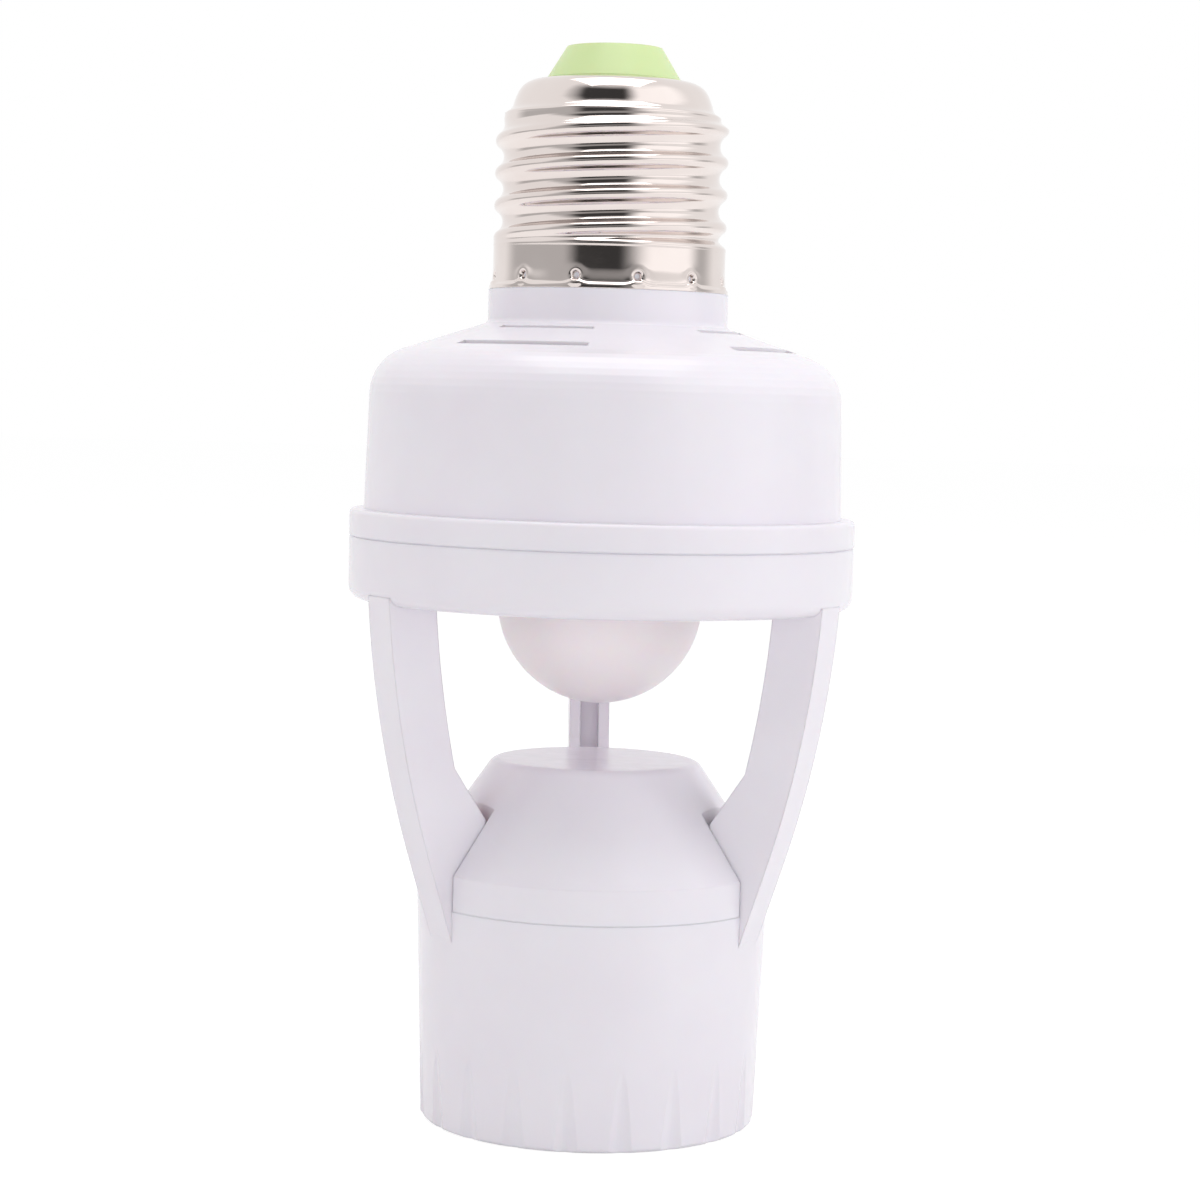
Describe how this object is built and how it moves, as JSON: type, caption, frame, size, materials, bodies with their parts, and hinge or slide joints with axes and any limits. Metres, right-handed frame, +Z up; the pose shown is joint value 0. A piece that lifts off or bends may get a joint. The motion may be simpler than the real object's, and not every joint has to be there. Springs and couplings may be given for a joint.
{
  "type": "motion sensor lamp holder",
  "caption": "Screw-in lamp holder with a drum-shaped motion sensor head, open arms, a lens dome between them and a fluted lamp socket below.",
  "frame": {"origin": "centre of the plane of the lamp socket's rim, which the holder stands on", "axes": "+Z up the axis to the screw cap, +Y towards the arm without a wire"},
  "size_m": [0.0573, 0.0572, 0.1214],
  "materials": {
    "white_plastic": "glossy white moulding with a faint cool tint",
    "nickel": "bright nickel-plated drawn sheet",
    "green_plastic": "light green moulding, slightly satin",
    "contact_nickel": "plated button",
    "lens_plastic": "frosted cream polyethylene",
    "sensor_can": "drawn can",
    "sensor_filter": "dark infrared filter",
    "photocell": "coated light-dependent resistor",
    "board_green": "green laminate",
    "screw_steel": "zinc-plated screw",
    "relay_blue": "blue moulded case",
    "film_red": "dipped film capacitor",
    "sleeve_blue": "shrunk sleeve",
    "chip_black": "moulded package",
    "resistor_tan": "coated resistor",
    "wire_red": "insulated wire",
    "wire_white": "insulated wire",
    "base_plastic": "heat-resisting moulding",
    "shell_metal": "rolled aluminium sheet",
    "leaf_brass": "sprung brass"
  },
  "bodies": {
    "holder": {"bracket": "white_plastic", "wiring_cover": "white_plastic", "upper_housing": "white_plastic", "screw_cap": "nickel", "cap_insulator": "green_plastic", "cap_contact": "contact_nickel", "lens_dome": "lens_plastic", "pir_sensor": "sensor_can", "sensor_window": "sensor_filter", "light_sensor": "photocell", "circuit_board": "board_green", "head_screws": "screw_steel", "relay": "relay_blue", "dropper_capacitor": "film_red", "smoothing_capacitor": "sleeve_blue", "rectifier": "chip_black", "fuse_resistor": "resistor_tan", "timer_chip": "chip_black", "live_in_wire": "wire_red", "neutral_in_wire": "wire_white", "live_out_wire": "wire_red", "neutral_out_wire": "wire_white", "socket_base": "base_plastic", "socket_shell": "shell_metal", "contact_rivets": "leaf_brass", "socket_screws": "screw_steel"},
    "leaf": {"socket_contact": "leaf_brass"}
  },
  "joints": [
    {"name": "leaf_press", "type": "hinge", "parent": "holder", "child": "leaf", "pos_m": [-0.0031, 0, 0.01645], "axis": [0, -1, 0], "range_deg": [0, 8], "stiffness_Nm_per_rad": 0.05}
  ]
}
